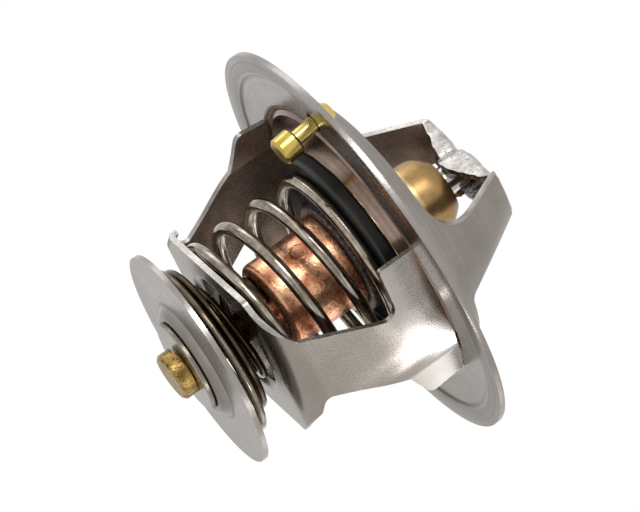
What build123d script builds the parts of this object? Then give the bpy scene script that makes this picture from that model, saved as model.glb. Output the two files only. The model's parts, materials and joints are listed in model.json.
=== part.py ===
from build123d import *
import math
import os

# Engine thermostat insert: a flanged seat that a housing clamps, a sprung main valve with a wax
# element, and a bypass disc that closes the second port as the main valve opens.
# Millimetres. Origin: centre of the flange's lower face. +Z runs along the axis to the bridge,
# +X runs through the legs of the bridge and of the lower frame.

os.makedirs("parts", exist_ok=True)

# Clearances
face_gap = 0.3          # between bodies that close on each other
nest_gap = 0.05         # between nested pieces of one body
running_gap = 0.05      # radial, for a shaft that slides in its hole

# Flange, hub and bridge: one stainless pressing
sheet = 0.9             # sheet thickness
flange_r = 33.5
rim_width = 4.2         # flat outer rim that the housing gasket grips
joggle = 0.4            # step up from the rim to the inner flat
joggle_run = 0.5        # radial length of that step
joggle_bends = (0.4, 1.4)
hub_top_r = 20.4        # inner skin at the top of the hub wall
hub_top_z = 5.6
hub_draft = 3.2         # how much wider the hub is at its foot
hub_foot_r = hub_top_r + hub_draft
hub_foot_bend = 2.0
bridge_top_r = 9.6      # inner skin at the top of the arms
bridge_top_z = 20.5     # outer face of the bridge's web
arm_bend = 12.0         # where the arms leave the hub
window_sill_z = 5.7     # lower edge of the two windows between the arms
arm_high_half = 4.0     # half width of an arm at the web
arm_swept_half = 6.6    # one edge of an arm sweeps out to this at the sill
swept_bend = 6.0
arm_straight_half = 3.2  # its other edge runs down to this
straight_bend = 1.0

# Bridge web: a channel, its two walls alike but turned half a turn, each with a lobe over the piston.
# Stations along the wall on the -Y side: (x, half width, depth, lift of its top edge). Only this wall
# is lifted, at its -X end.
web_lean = 0.25         # how far a wall leans in towards its top
web_wall = [
    (-10.05, 4.0, 1.0, 0.6),
    (-6.6, 3.8, 1.6, 0.5),
    (-3.8, 3.4, 2.6, 0.2),
    (-2.0, 2.8, 3.2, 0.0),
    (-0.8, 3.3, 3.9, 0.0),
    (0.8, 3.5, 4.1, 0.0),
    (2.0, 3.5, 3.9, 0.0),
    (3.8, 3.5, 3.3, 0.0),
    (6.6, 3.5, 2.4, 0.0),
    (10.05, 4.0, 1.0, 0.0),
]

# Seat ring, nested in the hub
seat_sheet = 0.8
seat_lip_r = hub_top_r - 4.9    # bore of the lip that the rubber closes against
seat_crown_r = hub_top_r - 3.2  # where the crown turns down to the lip
seat_crown_z = 6.2
seat_bend = 1.5
seat_foot_clear = 0.6   # foot edge above the flange's inner flat

# Lower frame: one strip, bent to a stirrup
frame_sheet = 0.9
plate_z = -23.3         # lower face of the plate
plate_half_y = 13.4
plate_hole_r = 9.8
leg_x = 20.5            # outer skin of a leg at its knee and along its upright tab
leg_knee_z = -8.0       # where the tab turns upright
leg_heel_x = 16.8       # where the leaning line meets the plate's lower face
heel_bend = 5.0
flare_start_x = 11.6    # plate corner, cut back towards the leg
flare_x = 16.9
flare_y = 8.0
flare_rise = 2.1        # end of the corner cut, above the plate's lower face
waist_rise = 3.5        # lower end of the waist, above the plate's lower face
waist_low_y = (-6.3, 5.3)
tab_y = -10.6           # free side of the tab
tab_z = -5.4            # its lower edge
notch_y = -1.4          # where that edge meets the waist
notch_bend = 1.8
fold_y = (-2.3, 0.3)    # fold between tab and leg, at the knee and at the flange
crease_y = (9.3, 7.6)   # crease between leg and wing, at the knee and at the flange
crease_out = 1.95       # how far the crease stands outside the tab at the flange
wing_y = (15.8, 13.8)   # free side of the wing, at its lower corner and at the flange
wing_z = -5.3
wing_turn = 20.0        # degrees that the wing bends in
frame_corner = 1.4
tab_corner = 0.5
wing_corner = 1.2

# Piston and the wax element
piston_d = 4.7
piston_low_z = -0.6
guide_top_z = 15.1
guide_step_z = 9.9
guide_r = 6.5
guide_nose_r = 4.4
guide_step = 0.3
guide_flange_r = 7.25
capsule_rim_top_z = -4.4
capsule_rim_r = 8.0
capsule_rim_height = 1.9
capsule_body_r = 7.2
capsule_wall = 0.6
capsule_low_z = -17.2
capsule_edge = 1.2
boss_r = 3.3            # copper boss that holds the bypass pin
boss_low_z = -20.4
cone_mouth_r = 4.9      # wide end of the guide's cone over the diaphragm
cone_height = 3.2
chafe_disc = 0.7
diaphragm_sheet = 0.8
crimp = 0.5             # lip of the capsule that is rolled over the guide's flange

# Main valve
valve_r = seat_lip_r + 1.0      # rubber ring
valve_rubber = 2.4      # its height
rubber_bore_r = valve_r - 4.9
plate_sheet = 0.9
valve_plate_r = valve_r - 1.4
plate_low_z = -1.75
collar_r = 9.2
collar_edge = 0.3
clip_r = 7.9
clip_groove = 0.5
clip_height = 0.9
clip_mouth = 50.0       # degrees open

# Springs, round wire wound right-handed; radii go to the middle of the wire
point_step = 30.0       # degrees between the points of a spring's path
main_wire = 2.05
main_coil_r = 13.65
main_end_r = 11.3       # lower end, tucked inside the turn above it
main_cut = -106.0       # degrees, where the lower end is cut
main_tuck_turns = 0.16
main_widen_turns = 0.4
main_low_turns = 0.5    # rest of the dead turn on the plate
main_live_turns = 2.92
main_top_turns = 0.64   # dead turn under the valve
bypass_wire = 1.35
bypass_wide_r = 13.7
bypass_shoulder_r = 13.4
bypass_neck_r = 8.0     # where it passes the plate's hole
bypass_small_r = 5.4
bypass_wide_turns = 1.15
bypass_cone_turns = 1.35
bypass_neck_turns = 1.3
bypass_top_turns = 0.7
bypass_cut = 130.0      # degrees, where the wide end is cut

# Bypass valve
disc_r = 17.7
disc_sheet = 0.8
disc_z = -29.6          # upper face, on the axis
disc_tilt = 3.0         # degrees that it hangs askew on its pin
disc_tilt_to = 230.0    # compass direction of its high side
disc_hole_gap = 0.3     # radial, round the pin
disc_boss_r = 9.6       # raised centre, pressed away from the spring
disc_boss_depth = 1.3
disc_boss_bend = 1.2
washer_r = 7.4
washer_height = 0.8
pin_shank_r = 2.4
pin_head_r = 3.85
pin_head_length = 2.3
pin_grip = 2.6          # length pressed into the capsule's boss

# Jiggle pin, hanging loosely in its vent hole
jiggle_share = 0.27     # how far out its hole lies, from the hub's foot to the rim
jiggle_r = hub_foot_r + jiggle_share * (flange_r - hub_foot_r)
jiggle_compass = -83.2  # degrees
jiggle_hole_r = 1.6
jiggle_shank_r = 1.25
jiggle_head_r = 2.15
jiggle_head = 2.0
jiggle_barrel_r = 2.2
jiggle_barrel = 3.2
jiggle_barrel_top_z = -3.2
jiggle_lean = 6.0       # degrees
jiggle_lean_to = 230.0  # compass direction that its head leans to

cut_past = 5.0          # how far a cutting shape reaches past the piece


def offset_corner(before, corner, after, distance):
    """Corner of the line that runs beside before-corner-after, distance to its left."""
    along_in = (corner - before).normalized()
    along_out = (after - corner).normalized()
    left_in = Vector(-along_in.Y, along_in.X)
    left_out = Vector(-along_out.Y, along_out.X)
    bisector = (left_in + left_out).normalized()
    return corner + bisector * (distance / bisector.dot(left_in))


def bent_sheet(points, radii, thickness):
    """Section of a bent sheet: points follow one skin, the sheet lies to the left of them."""
    skin = [Vector(*p) for p in points]
    first = (skin[1] - skin[0]).normalized()
    last = (skin[-1] - skin[-2]).normalized()
    far = [skin[0] + Vector(-first.Y, first.X) * thickness]
    far_radii = []
    for i in range(1, len(skin) - 1):
        far.append(offset_corner(skin[i - 1], skin[i], skin[i + 1], thickness))
        turn = (skin[i] - skin[i - 1]).cross(skin[i + 1] - skin[i]).Z
        far_radii.append(radii[i - 1] - thickness if turn > 0 else radii[i - 1] + thickness)
    far.append(skin[-1] + Vector(-last.Y, last.X) * thickness)
    near_line = FilletPolyline(*skin, radius=list(radii))
    far_line = FilletPolyline(*far, radius=far_radii)
    return make_face(near_line + far_line + Line(skin[0], far[0]) + Line(skin[-1], far[-1]))


def turned(face):
    """Spin a section drawn as (radius, height) round the axis."""
    return revolve(Plane.XZ * face, Axis.Z)


def ring(inner_r, outer_r, low_z, high_z):
    """Plain ring on the axis."""
    return turned(Pos((inner_r + outer_r) / 2, (low_z + high_z) / 2)
                  * Rectangle(outer_r - inner_r, high_z - low_z))


def rounded_ring(inner_r, outer_r, low_z, high_z, edge):
    """Ring whose two outer edges are rounded."""
    outline = FilletPolyline(
        (inner_r, low_z),
        (outer_r, low_z),
        (outer_r, high_z),
        (inner_r, high_z),
        radius=edge,
    )
    return turned(make_face(outline + Line((inner_r, high_z), (inner_r, low_z))))


def coil_spring(wire, cut, stations, tilt=0.0):
    """Round wire from its cut end upwards. Stations are (turns from the one before, radius, height).
    The foot lies at tilt degrees, like the disc under it, and the lean fades out towards the top."""
    foot_z = stations[0][2]
    height = stations[-1][2] - foot_z
    start = math.radians(cut)
    points = [(start, stations[0][1], foot_z)]
    for turns, end_r, end_z in stations[1:]:
        first_angle, first_r, first_z = points[-1]
        steps = max(1, round(turns * 360 / point_step))
        for step in range(1, steps + 1):
            share = step / steps
            points.append((
                first_angle + share * math.radians(turns * 360),
                first_r + share * (end_r - first_r),
                first_z + share * (end_z - first_z),
            ))
    route = []
    for angle, r, z in points:
        lean = math.tan(math.radians(tilt)) * (1 - (z - foot_z) / height)
        lift = lean * r * math.cos(angle - math.radians(disc_tilt_to))
        route.append((r * math.cos(angle), r * math.sin(angle), z + lift))
    path = Spline(*route)
    section = Plane(origin=path @ 0, z_dir=path % 0) * Circle(wire / 2)
    return sweep(section, path, is_frenet=True)


def leaned(shape, pivot_z, tilt, high_side):
    """Turn a piece about a point on the axis, so that its high side faces a compass direction."""
    turn = Rot(0, 0, high_side) * Rot(0, -tilt, 0) * Rot(0, 0, -high_side)
    return Pos(0, 0, pivot_z) * turn * Pos(0, 0, -pivot_z) * shape


# Flange, hub and bridge
inner_flat_z = joggle
web_low_z = bridge_top_z - sheet
arm_slope = (hub_top_r - bridge_top_r) / (bridge_top_z - hub_top_z)


def flange_bridge():
    step_r = flange_r - rim_width
    skin = [
        (bridge_top_r - arm_slope, bridge_top_z + 1),
        (hub_top_r, hub_top_z),
        (hub_foot_r, inner_flat_z),
        (step_r - joggle_run, inner_flat_z),
        (step_r, 0),
        (flange_r, 0),
    ]
    dome = turned(bent_sheet(skin, [arm_bend, hub_foot_bend, *joggle_bends], sheet))
    dome -= Pos(0, 0, bridge_top_z + cut_past) * Box(2 * hub_foot_r, 2 * hub_foot_r, 2 * cut_past)
    window = extrude(window_outline(arm_straight_half, straight_bend), 2 * flange_r)
    window += extrude(window_outline(arm_swept_half, swept_bend), -2 * flange_r)
    dome -= window
    dome -= Rot(0, 0, 180) * window
    near = web_wall
    far = [(-x, half, depth, 0.0) for x, half, depth, _ in reversed(web_wall)]
    web = loft([web_section(*walls) for walls in zip(near, far)], ruled=True)
    jiggle = math.radians(jiggle_compass)
    vent = Pos(jiggle_r * math.cos(jiggle), jiggle_r * math.sin(jiggle), inner_flat_z)
    return dome + web - vent * Cylinder(jiggle_hole_r, 4 * sheet)


def window_outline(low_half, bend):
    """What a window takes away beside one edge of an arm, seen along the arms."""
    far = flange_r + cut_past
    roof_z = bridge_top_z + cut_past
    side = FilletPolyline(
        (arm_high_half, roof_z),
        (arm_high_half, bridge_top_z),
        (low_half, window_sill_z),
        (far, window_sill_z),
        radius=[0.5, bend],
    )
    roof = Polyline((far, window_sill_z), (far, roof_z), (arm_high_half, roof_z))
    return Plane.YZ * make_face(side + roof)


def web_section(near, far):
    """Downward channel across the bridge, with the walls of one station on either side."""
    x, near_half, near_depth, near_lift = near
    _, far_half, far_depth, far_lift = far
    top = bridge_top_z
    inner = sheet + web_lean / 2
    points = [
        (-near_half, top - near_depth),
        (-near_half + web_lean, top + near_lift),
        (0, top),
        (far_half - web_lean, top + far_lift),
        (far_half, top - far_depth),
        (far_half - sheet, top - far_depth),
        (far_half - inner, top - sheet + far_lift),
        (0, top - sheet),
        (-near_half + inner, top - sheet + near_lift),
        (-near_half + sheet, top - near_depth),
    ]
    return Pos(x, 0, 0) * (Plane.YZ * make_face(Polyline(*points, close=True)))


def valve_seat_ring():
    wall = Vector(hub_top_r - hub_foot_r, hub_top_z - inner_flat_z).normalized()
    inward = Vector(-wall.Y, wall.X)
    start = Vector(hub_foot_r, inner_flat_z) + inward * nest_gap
    foot = start + wall * (seat_foot_clear / wall.Y)
    crown = start + wall * ((seat_crown_z - start.Y) / wall.Y)
    skin = [
        (foot.X, foot.Y),
        (crown.X, crown.Y),
        (seat_crown_r, seat_crown_z),
        (seat_lip_r, face_gap - nest_gap),
    ]
    return turned(bent_sheet(skin, [seat_bend, seat_bend], seat_sheet))


def lower_frame():
    top_z = inner_flat_z
    lean = Vector(leg_x - leg_heel_x, leg_knee_z - plate_z).normalized()
    past = Vector(leg_x, leg_knee_z) + lean * cut_past
    skin = [(0, plate_z), (leg_heel_x, plate_z), (past.X, past.Y)]
    strip = extrude(Plane.XZ * bent_sheet(skin, [heel_bend], frame_sheet), plate_half_y, both=True)
    strip -= Pos(leg_x, 0, leg_knee_z + cut_past) * Box(4 * cut_past, 4 * plate_half_y, 2 * cut_past)
    low_left, low_right = waist_low_y
    flare_z = plate_z + flare_rise
    waist_z = plate_z + waist_rise
    side = plate_half_y + cut_past
    floor = plate_z - cut_past
    roof = top_z + cut_past
    sharp = 0.1
    elevation = FilletPolyline(
        (-side, floor),
        (-side, flare_z),
        (-flare_y, flare_z),
        (low_left, waist_z),
        (notch_y, tab_z),
        (tab_y, tab_z),
        (tab_y, roof),
        (wing_y[1], roof),
        (wing_y[1], top_z),
        (wing_y[0], wing_z),
        (crease_y[0], leg_knee_z),
        (low_right, waist_z),
        (flare_y, flare_z),
        (side, flare_z),
        (side, floor),
        radius=[sharp, sharp, frame_corner, notch_bend, tab_corner, sharp, sharp, sharp, wing_corner, sharp,
                frame_corner, sharp, sharp],
    )
    elevation += Line((side, floor), (-side, floor))
    half = strip + leg_panel(top_z, frame_sheet / lean.Y)
    half &= extrude(Plane.YZ * make_face(elevation), 2 * leg_x)
    half -= corner_cut()
    half -= mirror(corner_cut(), Plane.XZ)
    half -= Pos(0, 0, plate_z) * Cylinder(plate_hole_r, 4 * frame_sheet)
    return half + Rot(0, 0, 180) * half


def leg_panel(top_z, across):
    """Top of a leg: an upright tab, then out from a slanting fold to the crease, and back along the wing."""
    side = plate_half_y + cut_past
    rows = []
    for z, fold, crease, out in (
        (leg_knee_z, fold_y[0], crease_y[0], 0),
        (top_z, fold_y[1], crease_y[1], crease_out),
    ):
        back = (side - crease) * math.tan(math.radians(wing_turn))
        outer = [(leg_x, -side), (leg_x, fold), (leg_x + out, crease), (leg_x + out - back, side)]
        inner = [(x - across, y) for x, y in reversed(outer)]
        rows.append(Pos(0, 0, z) * make_face(Polyline(*outer, *inner, close=True)))
    return loft(rows, ruled=True)


def corner_cut():
    """What is cut from a corner of the plate and its heel, with the corner's rounding left on."""
    slope = (plate_half_y - flare_y) / (flare_x - flare_start_x)
    far_x = leg_x + cut_past
    outline = FilletPolyline(
        (0, plate_half_y),
        (flare_start_x, plate_half_y),
        (far_x, plate_half_y - slope * (far_x - flare_start_x)),
        radius=frame_corner,
    )
    top = plate_half_y + cut_past
    outline += Polyline(outline @ 1, (far_x, top), (0, top), (0, plate_half_y))
    return Pos(0, 0, plate_z - cut_past) * extrude(make_face(outline), flare_rise + cut_past)


def piston():
    r = piston_d / 2
    tip_z = web_low_z - nest_gap
    chamfer_tip = 0.7
    chamfer_foot = 0.3
    outline = Polyline(
        (0, piston_low_z),
        (r - chamfer_foot, piston_low_z),
        (r, piston_low_z + chamfer_foot),
        (r, tip_z - chamfer_tip),
        (r - chamfer_tip, tip_z),
        (0, tip_z),
        close=True,
    )
    return turned(make_face(outline))


# Heights inside the wax element
bore_r = piston_d / 2 + running_gap
rim_low_z = capsule_rim_top_z - capsule_rim_height
guide_low_z = rim_low_z + 0.2
cone_top_z = guide_low_z + cone_height
chafe_top_z = piston_low_z - nest_gap
plug_top_z = chafe_top_z - chafe_disc - nest_gap
plug_low_z = cone_top_z + nest_gap


def guide():
    outline = Polyline(
        (bore_r, guide_top_z),
        (bore_r, cone_top_z),
        (cone_mouth_r, guide_low_z),
        (guide_flange_r, guide_low_z),
        (guide_flange_r, capsule_rim_top_z - crimp - nest_gap),
        (guide_r, capsule_rim_top_z - crimp - nest_gap),
        (guide_r, guide_step_z),
        (guide_r - guide_step, guide_step_z),
    )
    nose = Spline(
        (guide_r - guide_step, guide_step_z),
        (guide_nose_r + 1.2, guide_top_z - 1.5),
        (guide_nose_r, guide_top_z),
        tangents=[(0, 1), (-1, 1.1)],
    )
    close = Line((guide_nose_r, guide_top_z), (bore_r, guide_top_z))
    body = turned(make_face(outline + nose + close))
    clip_low = plate_low_z + plate_sheet
    groove = ring(guide_r - clip_groove, guide_r + 1, clip_low, clip_low + clip_height + nest_gap)
    return body - groove


def wax_capsule():
    rim_low = rim_low_z
    inner_rim = guide_flange_r + nest_gap
    inner_body = capsule_body_r - capsule_wall
    outer = FilletPolyline(
        (0, capsule_low_z),
        (capsule_body_r, capsule_low_z),
        (capsule_body_r, rim_low - 0.6),
        (capsule_rim_r, rim_low),
        (capsule_rim_r, capsule_rim_top_z),
        (guide_r + nest_gap, capsule_rim_top_z),
        radius=[capsule_edge, 0.3, 0.3, 0.45],
    )
    inner = Polyline(
        (guide_r + nest_gap, capsule_rim_top_z),
        (guide_r + nest_gap, capsule_rim_top_z - crimp),
        (inner_rim, capsule_rim_top_z - crimp),
        (inner_rim, guide_low_z - diaphragm_sheet),
        (inner_body, guide_low_z - diaphragm_sheet - 0.3),
        (inner_body, capsule_low_z + capsule_wall),
        (0, capsule_low_z + capsule_wall),
        (0, capsule_low_z),
    )
    cup = turned(make_face(outer + inner))
    boss = ring(pin_shank_r, boss_r, boss_low_z, capsule_low_z + capsule_wall / 2)
    boss += ring(0, boss_r, boss_low_z + pin_grip, capsule_low_z + capsule_wall / 2)
    return cup + boss


def diaphragm():
    outline = Polyline(
        (0, guide_low_z - diaphragm_sheet),
        (guide_flange_r, guide_low_z - diaphragm_sheet),
        (guide_flange_r, guide_low_z - nest_gap),
        (cone_mouth_r - nest_gap, guide_low_z - nest_gap),
        (bore_r - nest_gap, cone_top_z - nest_gap),
        (0, cone_top_z - nest_gap),
        close=True,
    )
    return turned(make_face(outline))


def wax_pellet():
    r = capsule_body_r - capsule_wall - nest_gap
    return ring(0, r, capsule_low_z + capsule_wall + nest_gap, guide_low_z - diaphragm_sheet - 0.3)


def rubber_plug():
    return ring(0, piston_d / 2, plug_low_z, plug_top_z)


def chafe_washer():
    return ring(0, piston_d / 2, chafe_top_z - chafe_disc, chafe_top_z)


def main_valve_plate():
    return ring(guide_r + nest_gap, valve_plate_r, plate_low_z, plate_low_z + plate_sheet)


def valve_rubber_ring():
    top_z = -nest_gap
    low_z = top_z - valve_rubber
    outline = FilletPolyline(
        (rubber_bore_r, low_z),
        (valve_r, low_z),
        (valve_r, top_z),
        (rubber_bore_r, top_z),
        radius=[0.6, 0.5],
    )
    body = turned(make_face(outline + Line((rubber_bore_r, top_z), (rubber_bore_r, low_z))))
    slot = ring(rubber_bore_r - 1, valve_plate_r + nest_gap, plate_low_z - nest_gap,
                plate_low_z + plate_sheet + nest_gap)
    return body - slot


def valve_collar():
    low_z = capsule_rim_top_z + nest_gap
    return rounded_ring(guide_r + nest_gap, collar_r, low_z, plate_low_z - nest_gap, collar_edge)


def retaining_clip():
    low_z = plate_low_z + plate_sheet + nest_gap
    body = ring(guide_r - clip_groove + nest_gap, clip_r, low_z, low_z + clip_height - nest_gap)
    half = math.radians(clip_mouth / 2)
    reach = 2 * clip_r
    mouth = Polyline(
        (0, 0),
        (reach * math.cos(half), reach * math.sin(half)),
        (reach * math.cos(half), -reach * math.sin(half)),
        close=True,
    )
    wedge = Pos(0, 0, low_z - 1) * extrude(make_face(mouth), clip_height + 2)
    return body - wedge


def main_spring():
    low_z = plate_z + frame_sheet + 2 * nest_gap + main_wire / 2
    high_z = -2 * nest_gap - valve_rubber - main_wire / 2
    stations = [
        (0, main_end_r, low_z),
        (main_tuck_turns, main_end_r, low_z),
        (main_widen_turns, main_coil_r, low_z),
        (main_low_turns, main_coil_r, low_z),
        (main_live_turns, main_coil_r, high_z),
        (main_top_turns, main_coil_r, high_z),
    ]
    return coil_spring(main_wire, main_cut, stations)


def bypass_spring():
    low_z = disc_z + bypass_wire / 2 + 2 * nest_gap
    high_z = capsule_low_z - bypass_wire / 2 - nest_gap
    wide_z = low_z + bypass_wide_turns * (bypass_wire + 2 * nest_gap)
    neck_z = plate_z - bypass_wire
    stations = [
        (0, bypass_wide_r, low_z),
        (bypass_wide_turns, bypass_shoulder_r, wide_z),
        (bypass_cone_turns, bypass_neck_r, neck_z),
        (bypass_neck_turns, bypass_small_r, high_z),
        (bypass_top_turns, bypass_small_r, high_z),
    ]
    return coil_spring(bypass_wire, bypass_cut, stations, disc_tilt)


# Heights of the bypass disc's boss and of the pieces under it
disc_low_z = disc_z - disc_sheet
boss_face_z = disc_low_z - disc_boss_depth
washer_low_z = boss_face_z - nest_gap - washer_height
pin_head_top_z = washer_low_z - nest_gap - pin_head_r * math.tan(math.radians(disc_tilt))


def bypass_disc():
    skin = [
        (pin_shank_r + disc_hole_gap, boss_face_z),
        (disc_boss_r - disc_boss_depth, boss_face_z),
        (disc_boss_r, disc_low_z),
        (disc_r, disc_low_z),
    ]
    flat = turned(bent_sheet(skin, [disc_boss_bend, disc_boss_bend], disc_sheet))
    return leaned(flat, disc_z, disc_tilt, disc_tilt_to)


def bypass_washer():
    hole_r = pin_shank_r + disc_hole_gap
    flat = rounded_ring(hole_r, washer_r, washer_low_z, washer_low_z + washer_height, 0.2)
    return leaned(flat, disc_z, disc_tilt, disc_tilt_to)


def bypass_pin():
    head_top = pin_head_top_z
    head_low = head_top - pin_head_length
    outline = Polyline(
        (0, boss_low_z + pin_grip - nest_gap),
        (pin_shank_r - nest_gap, boss_low_z + pin_grip - nest_gap),
        (pin_shank_r - nest_gap, boss_low_z),
        (pin_shank_r, boss_low_z - 0.1),
        (pin_shank_r, head_top),
        (pin_head_r, head_top),
        (pin_head_r, head_low + 0.4),
        (pin_head_r - 0.4, head_low),
        (0, head_low),
        close=True,
    )
    return turned(make_face(outline))


def jiggle_pin():
    flange_top = inner_flat_z + sheet
    lift = jiggle_head_r * math.tan(math.radians(jiggle_lean)) + nest_gap
    head_low = lift
    barrel_top = jiggle_barrel_top_z - flange_top
    barrel_low = barrel_top - jiggle_barrel
    r = jiggle_barrel_r
    edge = 0.4
    outline = Polyline(
        (0, barrel_low),
        (r - edge, barrel_low),
        (r, barrel_low + edge),
        (r, barrel_top - edge),
        (r - edge, barrel_top),
        (jiggle_shank_r, barrel_top),
        (jiggle_shank_r, head_low),
        (jiggle_head_r, head_low),
        (jiggle_head_r, head_low + jiggle_head * 0.4),
        (jiggle_head_r * 0.55, head_low + jiggle_head),
        (0, head_low + jiggle_head),
        close=True,
    )
    turn_axis = Rot(0, 0, jiggle_lean_to) * Rot(0, jiggle_lean, 0) * Rot(0, 0, -jiggle_lean_to)
    compass = math.radians(jiggle_compass)
    place = Pos(jiggle_r * math.cos(compass), jiggle_r * math.sin(compass), flange_top)
    return place * turn_axis * turned(make_face(outline))


pieces = {
    "flange_bridge": flange_bridge,
    "valve_seat_ring": valve_seat_ring,
    "lower_frame": lower_frame,
    "piston": piston,
    "chafe_washer": chafe_washer,
    "rubber_plug": rubber_plug,
    "main_spring": main_spring,
    "guide": guide,
    "wax_capsule": wax_capsule,
    "diaphragm": diaphragm,
    "wax_pellet": wax_pellet,
    "main_valve_plate": main_valve_plate,
    "valve_rubber_ring": valve_rubber_ring,
    "valve_collar": valve_collar,
    "retaining_clip": retaining_clip,
    "bypass_spring": bypass_spring,
    "bypass_pin": bypass_pin,
    "bypass_washer": bypass_washer,
    "bypass_disc": bypass_disc,
    "jiggle_pin": jiggle_pin,
}

for name, make in pieces.items():
    export_step(make(), "parts/" + name + ".step")
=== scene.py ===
import json
import math

import bmesh
import bpy
from mathutils import Matrix, Vector


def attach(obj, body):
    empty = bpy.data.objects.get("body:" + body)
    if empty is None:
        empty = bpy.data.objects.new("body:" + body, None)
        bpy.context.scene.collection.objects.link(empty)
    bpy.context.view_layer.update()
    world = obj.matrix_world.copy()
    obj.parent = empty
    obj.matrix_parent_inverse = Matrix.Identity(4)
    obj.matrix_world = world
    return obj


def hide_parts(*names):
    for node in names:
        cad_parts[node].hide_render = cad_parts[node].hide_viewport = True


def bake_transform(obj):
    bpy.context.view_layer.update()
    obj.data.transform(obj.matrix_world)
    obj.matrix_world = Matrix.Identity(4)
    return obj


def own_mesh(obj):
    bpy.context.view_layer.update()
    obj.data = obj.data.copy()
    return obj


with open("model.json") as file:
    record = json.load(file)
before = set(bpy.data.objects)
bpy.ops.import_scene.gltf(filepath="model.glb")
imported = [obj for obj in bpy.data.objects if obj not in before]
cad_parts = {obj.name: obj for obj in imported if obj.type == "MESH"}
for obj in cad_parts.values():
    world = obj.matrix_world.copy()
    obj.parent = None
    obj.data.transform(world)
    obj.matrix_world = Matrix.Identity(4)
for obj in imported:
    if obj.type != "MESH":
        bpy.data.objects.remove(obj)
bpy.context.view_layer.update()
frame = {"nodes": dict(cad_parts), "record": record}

# Engine thermostat. Sizes are millimetres; a piece is turned to metres when its mesh is finished.
MM = 0.001
SPIN_STEPS = 256
SHEET_EDGE = 0.28       # rounding of a sheared edge
EDGE_TURN = 35.0        # degrees: an edge that turns by more is rounded
MERGE = 1e-4            # points nearer than this are one
CLEAR = 5.0             # how far a cutter reaches past a piece
CLEAR_SHEET = 2.0       # and how far above and below its sheet

# Camera: what the photograph shows of the part's stance
VIEW_AZIMUTH = 50.0
VIEW_ELEVATION = -11.89
VIEW_ROLL = 54.33
VIEW_DISTANCE = 594.05
ORIGIN_RIGHT = 6.0      # where the part's origin sits in the picture, from its centre
ORIGIN_UP = 2.0
LENS = 225.0
SENSOR = 36.0
FLOOR_Z = -230.0
FLOOR_REACH = 3000.0
FLOOR_MIRRORED = 0.7    # how white metal shows the floor
ROOM_LIGHT = 0.6        # how strongly the white surroundings light the part; 1 is the white that is seen

# Sizes that the pieces share
SHEET = 0.9
FLANGE_R = 33.5
RIM_START_R = 30.1      # where the flange steps down to its rim
RIM_STEP = 0.5
FLAT_Z = 0.4            # lower face of the flange within its rim
HUB_FOOT_R = 23.6
HUB_FOOT_RISE = 0.55    # how steeply the inside of the hub's foot rises towards the axis
HUB_TOP = (20.4, 5.6)   # radius and height where the hub ends and the arms begin
BRIDGE_TOP_Z = 20.5
BRIDGE_TOP_R = 9.6
PRESSING_BENDS = (0.5, 12.0, 2.0, 0.4, 1.4)     # radii, from the bridge's top out to the rim
WEB_GAP = (9.2, 1.2)    # the flat top is cut away this far out and this deep, for the web
SILL_Z = 5.7            # lower edge of the windows between the arms
ARM_HIGH_HALF = 4.0     # half width of an arm at the bridge's top
ARM_SWEPT_HALF = 6.6    # half widths of an arm at the sill, on its swept and its straight side
ARM_STRAIGHT_HALF = 3.2
ARM_BEND = 0.5          # roundings of a window's outline
SWEPT_BEND = 9.0
STRAIGHT_BEND = 1.0
JIGGLE = (3.11, -26.09)         # middle of the vent hole
JIGGLE_HOLE_R = 1.6
PLATE_Z = -23.3         # lower face of the frame's plate
PLATE_HALF_Y = 13.4
HEEL_X = 16.8           # where the outer skins of plate and leg would meet
HEEL_BEND = 5.0
LEG_X = 20.5            # outer skin of a leg at its knee and along its upright tab
LEG_TOP_Z = 2.1
KNEE_Z = -8.0
WAIST_Z = -19.8         # narrowest place of a leg
WAIST_Y = (-6.3, 5.3)
FLARE_Z = -21.2         # where a leg widens into the plate
FLARE_START_X = 11.6    # slanting edge of a plate corner
FLARE_END_X = 16.9
FLARE_END_Y = 8.0
TAB_Y = -10.6
TAB_Z = -5.4
FAR_TAB_Z = -8.2        # the far leg's tab reaches lower
NOTCH_Y = -1.4
FOLD_Y = (-2.3, 0.3)    # fold beside the tab, at the knee and at the flange
CREASE_Y = (9.3, 7.6)   # crease beside the wing, at the knee and at the flange
CREASE_OUT = 1.95       # how far the crease stands out at the flange
WING_Y = (15.8, 13.8)   # edge of the wing, at its lower corner and at the flange
WING_Z = -5.3
WING_TURN = 20.0        # degrees
WING_FADE = 3.0         # below the knee the wing turns back into the leg over this height
DISC_TILT = 3.0         # degrees that the bypass disc hangs askew
DISC_TILT_TO = 230.0    # compass direction of its high side


# Shapes

def corner_arc(before, corner, after, radius, steps):
    """Points of the arc that rounds one corner of a line."""
    corner = Vector(corner)
    back = (Vector(before) - corner).normalized()
    on = (Vector(after) - corner).normalized()
    half = back.angle(on) / 2
    reach = radius / math.tan(half)
    centre = corner + (back + on).normalized() * (radius / math.sin(half))
    first = corner + back * reach - centre
    last = corner + on * reach - centre
    turn = first.angle(last)
    points = []
    for step in range(steps + 1):
        share = step / steps
        from_first, from_last = math.sin((1 - share) * turn), math.sin(share * turn)
        points.append(centre + (first * from_first + last * from_last) / math.sin(turn))
    return points


def rounded(points, radii, steps=6):
    """An open line whose inner corners are rounded, each with its own radius."""
    line = [Vector(points[0])]
    for before, corner, after, radius in zip(points, points[1:], points[2:], radii):
        if radius > 0:
            line += corner_arc(before, corner, after, radius, steps)
        else:
            line.append(Vector(corner))
    return line + [Vector(points[-1])]


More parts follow.
